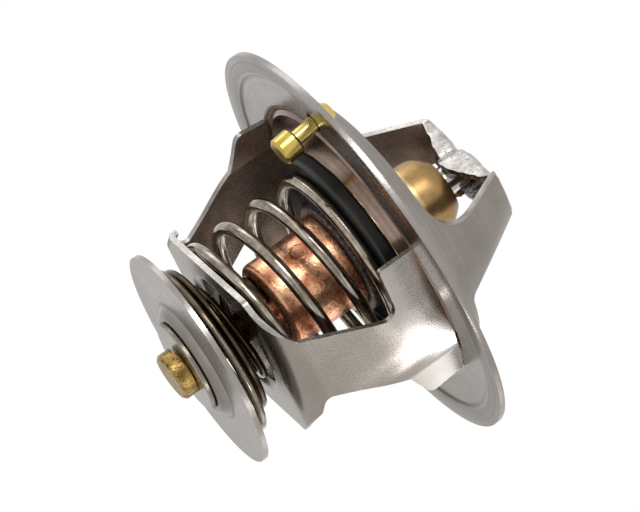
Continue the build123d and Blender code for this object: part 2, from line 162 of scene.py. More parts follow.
def beside(points, distance):
    """The line that runs beside another, distance to its left."""
    points = [Vector(point) for point in points]
    out = []
    for i, point in enumerate(points):
        ways = []
        if i > 0:
            ways.append((point - points[i - 1]).normalized())
        if i < len(points) - 1:
            ways.append((points[i + 1] - point).normalized())
        lefts = [Vector((-way.y, way.x)) for way in ways]
        middle = sum(lefts, Vector((0, 0))).normalized()
        out.append(point + middle * (distance / middle.dot(lefts[0])))
    return out


def sheet_loop(points, radii, thickness, steps=6):
    """Section of a bent sheet that lies to the left of a line with rounded corners."""
    skin = rounded(points, radii, steps)
    return skin + beside(skin, thickness)[::-1]


def finish_mesh(name, shape, smooth_angle=32.0):
    """Turn a finished bmesh in millimetres into an object in metres."""
    bmesh.ops.scale(shape, vec=(MM, MM, MM), verts=shape.verts)
    mesh = bpy.data.meshes.new(name)
    shape.to_mesh(mesh)
    shape.free()
    for polygon in mesh.polygons:
        polygon.use_smooth = True
    mesh.set_sharp_from_angle(angle=math.radians(smooth_angle))
    made = bpy.data.objects.new(name, mesh)
    bpy.context.scene.collection.objects.link(made)
    return made


def spun(line, closed=True):
    """Spin a line of (radius, height) round the axis. An open line starts and ends on the axis."""
    shape = bmesh.new()
    verts = [shape.verts.new((point[0], 0, point[1])) for point in line]
    sides = [shape.edges.new(pair) for pair in zip(verts, verts[1:])]
    if closed:
        sides.append(shape.edges.new((verts[-1], verts[0])))
    bmesh.ops.spin(shape, geom=verts + sides, cent=(0, 0, 0), axis=(0, 0, 1), angle=2 * math.pi,
                   steps=SPIN_STEPS, use_merge=True)
    bmesh.ops.remove_doubles(shape, verts=shape.verts, dist=MERGE)
    bmesh.ops.recalc_face_normals(shape, faces=shape.faces)
    return shape


def lofted(rows):
    """A surface through rows of points, each row pushed out from the one before."""
    shape = bmesh.new()
    verts = [shape.verts.new(point) for point in rows[0]]
    edges = [shape.edges.new(pair) for pair in zip(verts, verts[1:])]
    for row in rows[1:]:
        pushed = bmesh.ops.extrude_edge_only(shape, edges=edges)["geom"]
        new = {v for v in pushed if isinstance(v, bmesh.types.BMVert)}
        verts = [next(e.other_vert(v) for e in v.link_edges if e.other_vert(v) in new) for v in verts]
        for vert, point in zip(verts, row):
            vert.co = point
        edges = [next(e for e in a.link_edges if e.other_vert(a) is b) for a, b in zip(verts, verts[1:])]
    bmesh.ops.recalc_face_normals(shape, faces=shape.faces)
    return shape


def prism(outline, low, high, axis):
    """A block with an outline of (u, v), from low to high along X or Z, used to cut."""
    shape = bmesh.new()
    if axis == "X":
        verts = [shape.verts.new((low, u, v)) for u, v in outline]
        push = Vector((high - low, 0, 0))
    else:
        verts = [shape.verts.new((u, v, low)) for u, v in outline]
        push = Vector((0, 0, high - low))
    face = shape.faces.new(verts)
    out = bmesh.ops.extrude_face_region(shape, geom=[face])["geom"]
    bmesh.ops.translate(shape, vec=push, verts=[v for v in out if isinstance(v, bmesh.types.BMVert)])
    bmesh.ops.recalc_face_normals(shape, faces=shape.faces)
    return shape


def circle(x, y, radius, count=64):
    """Points round a circle."""
    turns = [2 * math.pi * step / count for step in range(count)]
    return [(x + radius * math.cos(turn), y + radius * math.sin(turn)) for turn in turns]


def apply_modifiers(made):
    """Make an object's modifiers part of its mesh."""
    ready = bpy.data.meshes.new_from_object(made.evaluated_get(bpy.context.evaluated_depsgraph_get()))
    made.modifiers.clear()
    made.data = ready


def combine(made, other, operation):
    """Cut one object with another, or join them, and remove the other."""
    step = made.modifiers.new(operation, "BOOLEAN")
    step.operation = operation
    step.object = other
    step.solver = "EXACT"
    step.material_mode = "TRANSFER"
    apply_modifiers(made)
    bpy.data.objects.remove(other)


def thicken(made):
    """Give a surface the thickness of the sheet. Its cut edges take the second material."""
    step = made.modifiers.new("sheet", "SOLIDIFY")
    step.thickness = SHEET * MM
    step.offset = 0
    step.use_even_offset = True
    step.material_offset_rim = 1
    apply_modifiers(made)


def round_edges(made):
    """Round the sharp edges of a finished object. The roundings take the first material."""
    step = made.modifiers.new("edges", "BEVEL")
    step.width = SHEET_EDGE * MM
    step.segments = 3
    step.limit_method = "ANGLE"
    step.angle_limit = math.radians(EDGE_TURN)
    step.use_clamp_overlap = True
    step.material = 0
    apply_modifiers(made)
    for polygon in made.data.polygons:
        polygon.use_smooth = True
    made.data.set_sharp_from_angle(angle=math.radians(EDGE_TURN))


# Materials. The grain of rolled or drawn metal and of a mould is about 0.03 mm wide, and the lines of a
# fine turning cut are 0.1 mm apart. Both are too fine to show in the render, so they are drawn 0.1 to
# 0.36 mm wide.

STREAK_CUT = (0.42, 0.62)       # noise from which a streak starts, and where it is full
SPECK_EDGE = 0.08
GRAIN_RANGE = (0.3, 0.7)        # noise over which the roughness goes from its low to its high value
DENT_FLOOR = 0.75               # share of a dent's radius that is flat
DENT_DEPTH = 0.15
RUBBER_GRAIN = 0.35
RUBBER_RELIEF = 0.02
RUBBER_BLOOM = "#262424"        # grey of its raised grain
RUBBER_SPREAD = (-0.06, 0.08)   # how much smoother and rougher than its mean the grain makes it


def linear(hex_colour):
    """A colour written as sRGB hex, in the linear values that a shader wants."""
    channels = [int(hex_colour[i:i + 2], 16) / 255 for i in (1, 3, 5)]
    return tuple(c / 12.92 if c <= 0.04045 else ((c + 0.055) / 1.055) ** 2.4 for c in channels) + (1.0,)


def add(tree, kind, inputs=None, **settings):
    """Add a node with its settings, and link or set its inputs. A Mix node takes colours at 6 and 7 and
    gives them at 2; it takes plain values at 2 and 3 and gives them at 0."""
    made = tree.nodes.new(kind)
    for name, value in settings.items():
        setattr(made, name, value)
    for name, value in (inputs or {}).items():
        if isinstance(value, bpy.types.NodeSocket):
            tree.links.new(value, made.inputs[name])
        else:
            made.inputs[name].default_value = value
    return made


def new_material(name):
    """An empty material with its output, its shader and the place on the piece."""
    material = bpy.data.materials.new(name)
    material.use_nodes = True
    tree = material.node_tree
    tree.nodes.clear()
    output = add(tree, "ShaderNodeOutputMaterial")
    shader = add(tree, "ShaderNodeBsdfPrincipled")
    tree.links.new(shader.outputs["BSDF"], output.inputs["Surface"])
    place = add(tree, "ShaderNodeTexCoord").outputs["Object"]
    return material, tree, shader, place


def per_mm(size):
    """Scale of a pattern whose features are this many millimetres across."""
    return 1.0 / (size * MM)


def metal(name, colours, roughness, grain_mm, bump_mm, patch_mm=6.0, patch_share=(0.35, 0.65), lines=None,
          speck=None, bands=(), streaks=None, dent=None, film=0.0):
    """A bare metal: patches of tone and a rolled or drawn grain. It may have turned lines (pitch, share of
    the relief), specks (size, colour, cut), bands of tone along Y, along Z or outwards (along, start, end,
    colours), streaks round the axis (width, colour, share), a round dent (place, radius) and a film of dull
    oil (share)."""
    material, tree, shader, place = new_material(name)
    patches = add(tree, "ShaderNodeTexNoise", {"Vector": place, "Scale": per_mm(patch_mm), "Detail": 5.0,
                                               "Roughness": 0.62})
    tone = add(tree, "ShaderNodeMapRange", {"Value": patches.outputs["Fac"], "From Min": patch_share[0],
                                            "From Max": patch_share[1]})
    base = add(tree, "ShaderNodeMix", {"Factor": tone.outputs["Result"], 6: linear(colours[0]),
                                       7: linear(colours[1])}, data_type="RGBA").outputs[2]
    grain = add(tree, "ShaderNodeTexNoise", {"Vector": place, "Scale": per_mm(grain_mm), "Detail": 3.0})
    apart = add(tree, "ShaderNodeSeparateXYZ", {"Vector": place})
    flat = add(tree, "ShaderNodeCombineXYZ", {"X": apart.outputs["X"], "Y": apart.outputs["Y"]})
    out = add(tree, "ShaderNodeVectorMath", {0: flat.outputs[0]}, operation="LENGTH").outputs["Value"]
    for along, start, end, band_colours in bands:
        share = add(tree, "ShaderNodeMapRange", {"Value": out if along == "R" else apart.outputs[along],
                                                 "From Min": start * MM, "From Max": end * MM})
        ramp = add(tree, "ShaderNodeValToRGB", {"Fac": share.outputs["Result"]})
        ramp.color_ramp.elements[0].color = linear(band_colours[0][1])
        ramp.color_ramp.elements[1].color = linear(band_colours[-1][1])
        for at, colour in band_colours[1:-1]:
            ramp.color_ramp.elements.new(at).color = linear(colour)
        base = add(tree, "ShaderNodeMix", {"Factor": 1.0, 6: base, 7: ramp.outputs["Color"]},
                   data_type="RGBA", blend_type="MULTIPLY").outputs[2]
    if streaks:
        width_mm, streak_colour, most = streaks
        round_axis = add(tree, "ShaderNodeCombineXYZ", {"X": out, "Y": apart.outputs["Z"]})
        fine = add(tree, "ShaderNodeTexNoise", {"Vector": round_axis.outputs[0], "Scale": per_mm(width_mm),
                                                "Detail": 3.0, "Roughness": 0.7})
        mask = add(tree, "ShaderNodeMapRange", {"Value": fine.outputs["Fac"], "From Min": STREAK_CUT[0],
                                                "From Max": STREAK_CUT[1], "To Max": most})
        base = add(tree, "ShaderNodeMix", {"Factor": mask.outputs["Result"], 6: base,
                                           7: linear(streak_colour)}, data_type="RGBA").outputs[2]
    if speck:
        speck_mm, speck_colour, cut = speck
        dots = add(tree, "ShaderNodeTexNoise", {"Vector": place, "Scale": per_mm(speck_mm), "Detail": 2.0})
        mask = add(tree, "ShaderNodeMapRange", {"Value": dots.outputs["Fac"], "From Min": cut,
                                                "From Max": cut + SPECK_EDGE})
        base = add(tree, "ShaderNodeMix", {"Factor": mask.outputs["Result"], 6: base,
                                           7: linear(speck_colour)}, data_type="RGBA").outputs[2]
    tree.links.new(base, shader.inputs["Base Color"])
    shader.inputs["Metallic"].default_value = 1.0 - film
    rough = add(tree, "ShaderNodeMapRange", {"Value": grain.outputs["Fac"], "From Min": GRAIN_RANGE[0],
                                             "From Max": GRAIN_RANGE[1], "To Min": roughness[0],
                                             "To Max": roughness[1]})
    tree.links.new(rough.outputs["Result"], shader.inputs["Roughness"])
    height = grain.outputs["Fac"]
    if lines:
        pitch_mm, share = lines
        one_band = 2 * math.pi / 20     # width of a band of the wave texture at scale 1
        rings = add(tree, "ShaderNodeTexWave", {"Vector": place, "Scale": one_band * per_mm(pitch_mm),
                                                "Distortion": 0.6, "Detail": 2.0, "Detail Scale": 1.5},
                    wave_type="BANDS", bands_direction="Z")
        height = add(tree, "ShaderNodeMix", {"Factor": share, 2: height,
                                             3: rings.outputs["Fac"]}).outputs[0]
    bump = add(tree, "ShaderNodeBump", {"Height": height, "Distance": bump_mm * MM, "Strength": 1.0})
    if dent:
        centre, radius = dent
        away = add(tree, "ShaderNodeVectorMath", {0: place, 1: tuple(c * MM for c in centre)},
                   operation="DISTANCE")
        ring = add(tree, "ShaderNodeMapRange", {"Value": away.outputs["Value"],
                                                "From Min": DENT_FLOOR * radius * MM,
                                                "From Max": radius * MM}, interpolation_type="SMOOTHSTEP")
        bump = add(tree, "ShaderNodeBump", {"Height": ring.outputs["Result"], "Distance": DENT_DEPTH * MM,
                                            "Normal": bump.outputs["Normal"]})
    tree.links.new(bump.outputs["Normal"], shader.inputs["Normal"])
    return material


def rubber(name, colour, roughness):
    """Moulded rubber: satin, with the mould's fine grain."""
    material, tree, shader, place = new_material(name)
    grain = add(tree, "ShaderNodeTexNoise", {"Vector": place, "Scale": per_mm(RUBBER_GRAIN),
                                             "Detail": 4.0})
    tone = add(tree, "ShaderNodeMix", {"Factor": grain.outputs["Fac"], 6: linear(colour),
                                       7: linear(RUBBER_BLOOM)}, data_type="RGBA")
    tree.links.new(tone.outputs[2], shader.inputs["Base Color"])
    rough = add(tree, "ShaderNodeMapRange", {"Value": grain.outputs["Fac"],
                                             "To Min": roughness + RUBBER_SPREAD[0],
                                             "To Max": roughness + RUBBER_SPREAD[1]})
    tree.links.new(rough.outputs["Result"], shader.inputs["Roughness"])
    shader.inputs["IOR"].default_value = 1.52
    bump = add(tree, "ShaderNodeBump", {"Height": grain.outputs["Fac"], "Distance": RUBBER_RELIEF * MM})
    tree.links.new(bump.outputs["Normal"], shader.inputs["Normal"])
    return material


def plain(name, colours, roughness, grain_mm):
    """A dull solid such as wax or a white plastic disc."""
    material, tree, shader, place = new_material(name)
    grain = add(tree, "ShaderNodeTexNoise", {"Vector": place, "Scale": per_mm(grain_mm), "Detail": 4.0})
    tone = add(tree, "ShaderNodeMix", {"Factor": grain.outputs["Fac"], 6: linear(colours[0]),
                                       7: linear(colours[1])}, data_type="RGBA")
    tree.links.new(tone.outputs[2], shader.inputs["Base Color"])
    shader.inputs["Roughness"].default_value = roughness
    return material


# Stainless sheet, rolled and pressed: satin grey, so that folds show as broad soft lights. Its lower part
# is painted a little darker, a painted shade.
stainless = metal("pressed_stainless_steel", ("#B2ADA7", "#C8C3BE"), (0.20, 0.31), 0.22, 0.009,
                  patch_mm=14.0, patch_share=(0.30, 0.66), speck=(0.5, "#7B746D", 0.70),
                  bands=[("Z", -24.0, -3.0, [(0.0, "#CECAC5"), (0.6, "#CFCBC6"), (0.8, "#DAD6D2"),
                                             (1.0, "#FFFFFF")])])
# Bypass disc, pressed of thinner sheet: greyer, with fine rings of dirt, painted shade round its washer
# and as a dark line at the edge of its pressed recess, and one side painted darker, a painted shade
disc_steel = metal("pressed_disc_steel", ("#918C87", "#B0ABA7"), (0.20, 0.33), 0.22, 0.009,
                   patch_mm=12.0, patch_share=(0.30, 0.66), streaks=(0.8, "#77706A", 0.3),
                   bands=[("R", 6.0, 16.5, [(0.0, "#6E6762"), (0.10, "#8F8984"), (0.22, "#E4E0DC"),
                                            (0.33, "#FFFFFF"), (0.36, "#8E8A88"), (0.41, "#FFFFFF"),
                                            (1.0, "#FFFFFF")]),
                          ("Y", -16.0, 16.0, [(0.0, "#FFFFFF"), (1.0, "#DAD6CD")])])
# The flange, of the same sheet as the frame: greyer, with a painted-shade dark line at its pressed step
# and another on its rim, darker on the rim's band and towards the hub's foot, and one side painted darker
# and yellower, a painted shade
flange_steel = metal("pressed_stainless_flange", ("#928D8A", "#B4B0AE"), (0.18, 0.34), 0.22, 0.012,
                     patch_mm=16.0, patch_share=(0.30, 0.66), streaks=(0.7, "#77716C", 0.35),
                     bands=[("R", 22.0, 34.0, [(0.0, "#DCD8D4"), (0.28, "#FFFFFF"), (0.60, "#FFFFFF"),
                                               (0.655, "#8F8985"), (0.68, "#FFFFFF"), (0.72, "#C4BEB9"),
                                               (0.845, "#DDD8D4"), (0.86, "#9A948F"), (0.875, "#E9E6E3"),
                                               (1.0, "#FFFFFF")]),
                            ("Y", -28.0, 28.0, [(0.0, "#FFFFFF"), (1.0, "#D0CBC0")])])
# The same sheet where it was sheared: torn, so duller and rougher than its face
sheared = metal("sheared_steel_edge", ("#8C8782", "#BAB5B0"), (0.22, 0.42), 0.30, 0.020)
# The web, peened when it was closed round the piston: lumpy, so its lights are broken up
peened = metal("peened_stainless_steel", ("#A5A09C", "#CDC9C5"), (0.26, 0.46), 0.55, 0.11,
               patch_mm=1.8, speck=(0.45, "#6E6864", 0.62))
# Seat ring, drawn: a smooth brown painted reflection of the copper capsule, with darker rings
tinted_steel = metal("seat_ring_painted_reflection", ("#7A6558", "#AD998C"), (0.14, 0.28), 0.22, 0.010,
                     patch_mm=9.0, streaks=(0.6, "#6B5040", 0.4), film=0.15)
# Inner side of the sheet: brown, a painted reflection of the copper capsule, and it mirrors less
inner_reflection_steel = metal("inner_side_painted_reflection", ("#7A685D", "#BCA898"), (0.20, 0.38), 0.25, 0.010,
              patch_mm=9.0, film=0.4)
# Piston rod, ground: even and nearly a mirror, with one sharp light along it
ground_steel = metal("ground_steel", ("#A29D99", "#B7B2AE"), (0.12, 0.20), 0.10, 0.002)
# Main spring, of drawn wire: bright lights with dark streaks along the coils, painted reflections
spring_steel = metal("drawn_spring_steel", ("#877C6E", "#CFC5B7"), (0.10, 0.20), 0.25, 0.008,
                     patch_mm=2.5, streaks=(0.30, "#433A31", 0.75))
# Bypass spring, of finer drawn wire: the same, with painted shade, dark brown, where it goes up into the
# plate's hole
bypass_wire = metal("spring_steel_painted_shade", ("#7F7466", "#C2B7A6"), (0.10, 0.20), 0.20, 0.008,
                    patch_mm=2.5, streaks=(0.25, "#433A31", 0.75),
                    bands=[("Z", -28.5, -25.5, [(0.0, "#FFFFFF"), (0.4, "#8A7C6C"), (1.0, "#5A4C40")])])
# Guide, of brass bar turned on a lathe: pale satin yellow with fine rings, and painted shade that makes it
# browner above its shoulder and towards its nose
brass = metal("turned_brass", ("#B59B6C", "#DCC495"), (0.24, 0.42), 0.20, 0.016, lines=(0.32, 0.75),
              film=0.15,
              bands=[("Z", 9.0, 15.2, [(0.0, "#FFFFFF"), (0.14, "#FFFFFF"), (0.16, "#D8CDBD"),
                                       (0.6, "#CDBEA8"), (1.0, "#A08A6C")])])
# Jiggle pin, of brass turned with a sharper tool: a stronger yellow with crisp lights
bright_brass = metal("bright_turned_brass", ("#BBA048", "#E0CB7E"), (0.14, 0.26), 0.25, 0.008,
                     lines=(0.36, 0.5))
# Bypass pin, of brass riveted over with a hammer: darker, uneven and specked, and painted dark brown at
# its head, a painted shade
rough_brass = metal("peened_brass", ("#7F6538", "#C2A262"), (0.28, 0.48), 0.30, 0.03,
                    patch_mm=1.6, speck=(0.30, "#3E3018", 0.58),
                    bands=[("Z", -31.5, -30.5, [(0.0, "#FFFFFF"), (1.0, "#4A3A30")])])
# Capsule, of copper drawn and crimped: mottled pink, with dark specks of oxide and one round mark of the
# crimping tool
copper = metal("drawn_copper", ("#CE7C54", "#FFCBA2"), (0.20, 0.36), 0.55, 0.045, patch_mm=3.2, film=0.15,
               speck=(0.45, "#5A2C1C", 0.64), dent=((1.7, -7.0, -9.6), 1.5))
# Collar, of sintered steel: dark and matt, with bright grains
sintered = metal("sintered_steel", ("#4E4A4A", "#827C7A"), (0.36, 0.55), 0.25, 0.05, patch_mm=0.6,
                 film=0.4, speck=(0.30, "#B5B0AC", 0.58))
# Valve ring, of nitrile rubber from a polished mould: black, with soft lights
valve_rubber = rubber("nitrile_rubber", "#101010", 0.40)
# Plug and diaphragm, of rubber from a plain mould: brownish black and duller
element_rubber = rubber("moulded_rubber", "#1A1614", 0.55)
# Chafe washer, cut from plastic film: even white, faintly glossy
white_disc = plain("white_plastic", ("#DAD8D2", "#EEECE6"), 0.35, 0.5)
# Wax mixed with copper powder and pressed: brown, matt and grainy
wax = plain("copper_filled_wax", ("#8A5A3A", "#B98860"), 0.6, 0.3)


# Placing a piece on the frame

BODY_OF = {name: body for body, names in frame["record"]["behaviour"]["bodies"].items() for name in names}


def give(made, *materials):
    """Give a piece its materials. Faces keep their numbers."""
    for material in materials:
        made.data.materials.append(material)
    return made


def put(made, node):
    """Let a finished piece stand for its CAD node, on that node's body."""
    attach(made, BODY_OF[node])
    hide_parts(node)
    return made


def dress(node, material):
    """Keep a CAD node as it is and give it its material."""
    kept = frame["nodes"][node]
    kept.data.materials.clear()
    kept.data.materials.append(material)


# Flange, hub and bridge

# Bridge web, along its wall on the -Y side: (x, half width, depth, lift of its top edge)
WEB_WALL = [
    (-10.05, 4.0, 1.0, 0.6), (-6.6, 3.8, 1.8, 0.5), (-3.8, 3.5, 2.8, 0.3), (-2.4, 3.1, 3.1, 0.05),
    (-1.9, 2.4, 3.3, -0.35), (-1.2, 3.0, 3.9, 0.15), (0.2, 3.6, 4.3, 0.35), (2.0, 3.7, 4.2, 0.55),
    (3.8, 3.6, 3.6, 0.5), (5.2, 3.5, 2.9, 0.2), (7.4, 3.6, 2.2, 0.0), (10.05, 4.0, 1.0, 0.0),
]
WEB_ROWS = 90
WALL_LEAN = 0.2         # how far a wall leans inwards at its top edge
WALL_BEND = 0.6
INNER_REFLECTION_R = HUB_FOOT_R + 2.0        # the painted reflection on the inner side reaches this far out
FACING_IN = -0.15       # a face whose normal points outwards by less than this is on the inner side


def window_cut(low_half, bend, low_x, high_x, side):
    """What a window takes away beside one edge of an arm."""
    far = FLANGE_R + CLEAR
    roof = BRIDGE_TOP_Z + CLEAR_SHEET
    line = rounded([(ARM_HIGH_HALF, roof), (ARM_HIGH_HALF, BRIDGE_TOP_Z), (low_half, SILL_Z), (far, SILL_Z)],
                   [ARM_BEND, bend], steps=16)
    outline = [(side * y, z) for y, z in line] + [(side * far, roof)]
    return prism(outline, low_x, high_x, "X")


def web_station(x, way):
    """Half width, depth and lift of a wall at x. The +Y wall is the -Y one turned half a turn, with no
    lift."""
    for left, right in zip(WEB_WALL, WEB_WALL[1:]):
        if left[0] <= x * way <= right[0]:
            share = (x * way - left[0]) / (right[0] - left[0])
            share = share * share * (3 - 2 * share)
            half, depth, lift = (a + (b - a) * share for a, b in zip(left[1:], right[1:]))
            return half, depth, lift if way > 0 else 0.0


def channel_row(x):
    """Points across the bridge's channel at x, on the middle of the sheet."""
    near_half, near_depth, near_lift = web_station(x, 1)
    far_half, far_depth, _ = web_station(x, -1)
    high = BRIDGE_TOP_Z - SHEET / 2
    near = near_half - SHEET / 2
    far = far_half - SHEET / 2
    line = rounded([(-near, BRIDGE_TOP_Z - near_depth), (-near + WALL_LEAN, high + near_lift), (0, high),
                    (far - WALL_LEAN, high), (far, BRIDGE_TOP_Z - far_depth)], [WALL_BEND, 0, WALL_BEND])
    return [(x, point.x, point.y) for point in line]


def paint_inner_reflection(made, slot):
    """Give the faces that look at the axis the slot of the inner side with its painted reflection."""
    for polygon in made.data.polygons:
        out = polygon.center.xy.length
        facing = polygon.normal.x * polygon.center.x + polygon.normal.y * polygon.center.y
        if facing < FACING_IN * out and out < INNER_REFLECTION_R * MM:
            polygon.material_index = slot


def shear(cutter):
    """A cutter whose cuts leave the duller sheared edge, the second material."""
    made = give(finish_mesh("cutter", cutter), stainless, sheared)
    for polygon in made.data.polygons:
        polygon.material_index = 1
    return made


def flange_bridge():
    """The pressing: a hat is spun, its windows and vent hole are cut, and the folded web joins the arms."""
    web_low = BRIDGE_TOP_Z - SHEET
    top_corner_r = BRIDGE_TOP_R + SHEET * (HUB_TOP[0] - BRIDGE_TOP_R) / (BRIDGE_TOP_Z - HUB_TOP[1])
    section = sheet_loop([(0, web_low), (top_corner_r, web_low), HUB_TOP, (HUB_FOOT_R, FLAT_Z),
                          (RIM_START_R - RIM_STEP, FLAT_Z), (RIM_START_R, 0), (FLANGE_R, 0)],
                         PRESSING_BENDS, SHEET)
    hat = give(finish_mesh("flange_and_bridge", spun(section, closed=False)), flange_steel, sheared, peened,
               inner_reflection_steel)
    paint_inner_reflection(hat, 3)
    gap_x, gap_depth = WEB_GAP
    gap_y = ARM_HIGH_HALF + CLEAR
    cutters = [prism([(-gap_x, -gap_y), (gap_x, -gap_y), (gap_x, gap_y), (-gap_x, gap_y)],
                     BRIDGE_TOP_Z - gap_depth, BRIDGE_TOP_Z + CLEAR_SHEET, "Z")]
    far = FLANGE_R + CLEAR
    for side, straight_x, swept_x in ((1, (0, far), (-far, 0)), (-1, (-far, 0), (0, far))):
        cutters.append(window_cut(ARM_STRAIGHT_HALF, STRAIGHT_BEND, *straight_x, side))
        cutters.append(window_cut(ARM_SWEPT_HALF, SWEPT_BEND, *swept_x, side))
    for cutter in cutters:
        combine(hat, shear(cutter), "DIFFERENCE")
    end = WEB_WALL[-1][0]
    rows = [channel_row(end * (2 * row / WEB_ROWS - 1)) for row in range(WEB_ROWS + 1)]
    web = give(finish_mesh("web", lofted(rows)), peened, sheared)
    thicken(web)
    combine(hat, web, "UNION")
    hole = prism(circle(*JIGGLE, JIGGLE_HOLE_R), -CLEAR_SHEET, SHEET + CLEAR_SHEET, "Z")
    combine(hat, shear(hole), "DIFFERENCE")
    round_edges(hat)
    put(hat, "flange_bridge")


# Lower frame: one strip, bent to a stirrup. Both ends are alike, turned half a turn, but for the height of
# their tabs and for one corner of the plate, which is bent up.

FRAME_ROWS = 200
FRAME_COLUMNS = 110
FRAME_HALF_Y = 17.5     # half width of the strip before its edges are cut
CUT_X = (5.0, 30.0)     # the cutters of a leg's edges reach from here to here
OUTLINE_STEPS = 8
PANEL_ARCH = 0.6        # how much the panel between fold and crease is arched
FOLD_SOFT = (0.25, 1.15)        # a fold is softened over this at the crease, and over this more beyond
FOLD_SOFT_FROM = 4.0            # this distance from it
CROWN = 0.42            # how far the panel is crowned
CROWN_BEFORE = 2.0      # the crown's middle: this far before the crease, and at this height
CROWN_Z = -9.0
CROWN_REACH = (2.3, 5.5)        # along Y and Z
FLARE_RUN = 2.4         # along Y: the edge of a plate corner rises over this to where the leg widens
FLARE_BEND = 1.6
WAIST_BEND = 1.4
NOTCH_BEND = 1.8
TAB_BEND = 0.5
CURL_BEND = 0.2
WING_BEND = 1.2
LIP_R = 9.1             # inside of the drawn lip round the plate's hole
LIP_BEND = 1.3
LIP_FOOT = 0.4          # how far the lip's foot reaches into the plate
LIP_SHEET = 0.75
LIP_TOP_Z = -19.6
CURL_Z = -22.1          # where a plate corner starts to curl up into its leg
CORNER_R = 1.4          # rounding of a plate corner
EAR_X = 9.4             # the far plate corner stands up: where its bend starts along the edge
EAR_BEND = 0.9
EAR_Z = -21.6

# What follows from these sizes
LEG_WAY = Vector((LEG_X - HEEL_X, KNEE_Z - PLATE_Z)).normalized()       # from heel to knee, along X and Z
HEEL_TURN = math.acos(LEG_WAY.x)
HEEL_R = HEEL_BEND - SHEET / 2                                          # on the middle of the sheet
HEEL_START = HEEL_X - HEEL_BEND * math.tan(HEEL_TURN / 2)
LEG_START = HEEL_START + HEEL_R * HEEL_TURN                             # along the strip, from its middle
LEG_START_Z = PLATE_Z + HEEL_BEND - HEEL_R * math.cos(HEEL_TURN)
CORNER_SLOPE = (PLATE_HALF_Y - FLARE_END_Y) / (FLARE_END_X - FLARE_START_X)
WING_SLOPE = math.tan(math.radians(WING_TURN))


def leg_lines(z):
    """Share of the way from knee to flange at a height, and where the fold and the crease lie along Y."""
    rise = (z - KNEE_Z) / (FLAT_Z - KNEE_Z)
    fold = FOLD_Y[0] + rise * (FOLD_Y[1] - FOLD_Y[0])
    crease = CREASE_Y[0] + rise * (CREASE_Y[1] - CREASE_Y[0])
    return rise, fold, crease


def leg_skin(y, z):
    """How far out the outer skin of a leg stands at y and z."""
    rise, fold, crease = leg_lines(z)
    if z < KNEE_Z:
        leaning = LEG_X + (LEG_X - HEEL_X) / (KNEE_Z - PLATE_Z) * (z - KNEE_Z)
        return leaning - max(0.0, y - crease) * WING_SLOPE * max(0.0, 1 + (z - KNEE_Z) / WING_FADE)
    if y < fold:
        return LEG_X
    if y < crease:
        across = (y - fold) / (crease - fold)
        return LEG_X + rise * CREASE_OUT * across * (1 + PANEL_ARCH - PANEL_ARCH * across)
    return LEG_X + rise * CREASE_OUT - (y - crease) * WING_SLOPE


def pressed_skin(y, z):
    """The same skin with its folds softened as the press leaves them, and crowned between them."""
    _, _, crease = leg_lines(z)
    reach = FOLD_SOFT[0] + FOLD_SOFT[1] * min(1.0, abs(y - crease) / FOLD_SOFT_FROM)
    spots = (-1, -0.5, 0, 0.5, 1)
    total = 0.0
    for side in spots:
        for up in spots:
            total += leg_skin(y + side * reach, z + up * reach)
    beside_crown = (y - crease + CROWN_BEFORE) / CROWN_REACH[0]
    above_crown = (z - CROWN_Z) / CROWN_REACH[1]
    return total / len(spots) ** 2 + CROWN * math.exp(-beside_crown ** 2) * math.exp(-above_crown ** 2)


def leg_top(y):
    """How high a leg reaches at y: where it stands inside the hub's foot it goes in, up to the wall."""
    inside = HUB_FOOT_R - math.hypot(pressed_skin(y, FLAT_Z), y)
    return FLAT_Z + min(LEG_TOP_Z - FLAT_Z, HUB_FOOT_RISE * max(0.0, inside))


def bent_up(x, y, z):
    """The far plate corner, bent up across it."""
    across = Vector((CORNER_SLOPE, 1)).normalized()
    beyond = max(0.0, (x - EAR_X) * across.x + (y - PLATE_HALF_Y) * across.y)
    share = min(1.0, max(0.0, (y - FLARE_END_Y) / FLARE_RUN))
    turn = min(beyond / EAR_BEND, math.pi / 2)
    shift = share * (EAR_BEND * math.sin(turn) - beyond)
    lift = share * (EAR_BEND * (1 - math.cos(turn)) + beyond - EAR_BEND * turn)
    return x + shift * across.x, y + shift * across.y, z + lift


def strip_point(run, y):
    """Point on the middle of the sheet, at a run along the strip from its middle."""
    way = 1 if run >= 0 else -1
    run *= way
    y *= way
    if run < HEEL_START:
        x, z = run, PLATE_Z + SHEET / 2
    elif run < LEG_START:
        turn = (run - HEEL_START) / HEEL_R
        x, z = HEEL_START + HEEL_R * math.sin(turn), PLATE_Z + HEEL_BEND - HEEL_R * math.cos(turn)
    else:
        z = LEG_START_Z + (run - LEG_START) * LEG_WAY.y
        if z > 0:
            z *= leg_top(y) / LEG_TOP_Z
        x = pressed_skin(y, z) - SHEET / 2 / LEG_WAY.y
    if way < 0 and z < WAIST_Z:
        x, y, z = bent_up(x, y, z)
    return way * x, way * y, z


def tab_side(tab_z):
    """What is cut away beside a leg on its tab's side, as (y, z)."""
    past = FRAME_HALF_Y + CLEAR
    return rounded([(-past, CURL_Z), (-FLARE_END_Y - FLARE_RUN, CURL_Z), (-FLARE_END_Y, FLARE_Z),
                    (WAIST_Y[0], WAIST_Z), (NOTCH_Y, tab_z), (TAB_Y, tab_z), (TAB_Y, CLEAR)],
                   [FLARE_BEND, FLARE_BEND, WAIST_BEND, NOTCH_BEND, TAB_BEND],
                   OUTLINE_STEPS) + [Vector((-past, CLEAR))]


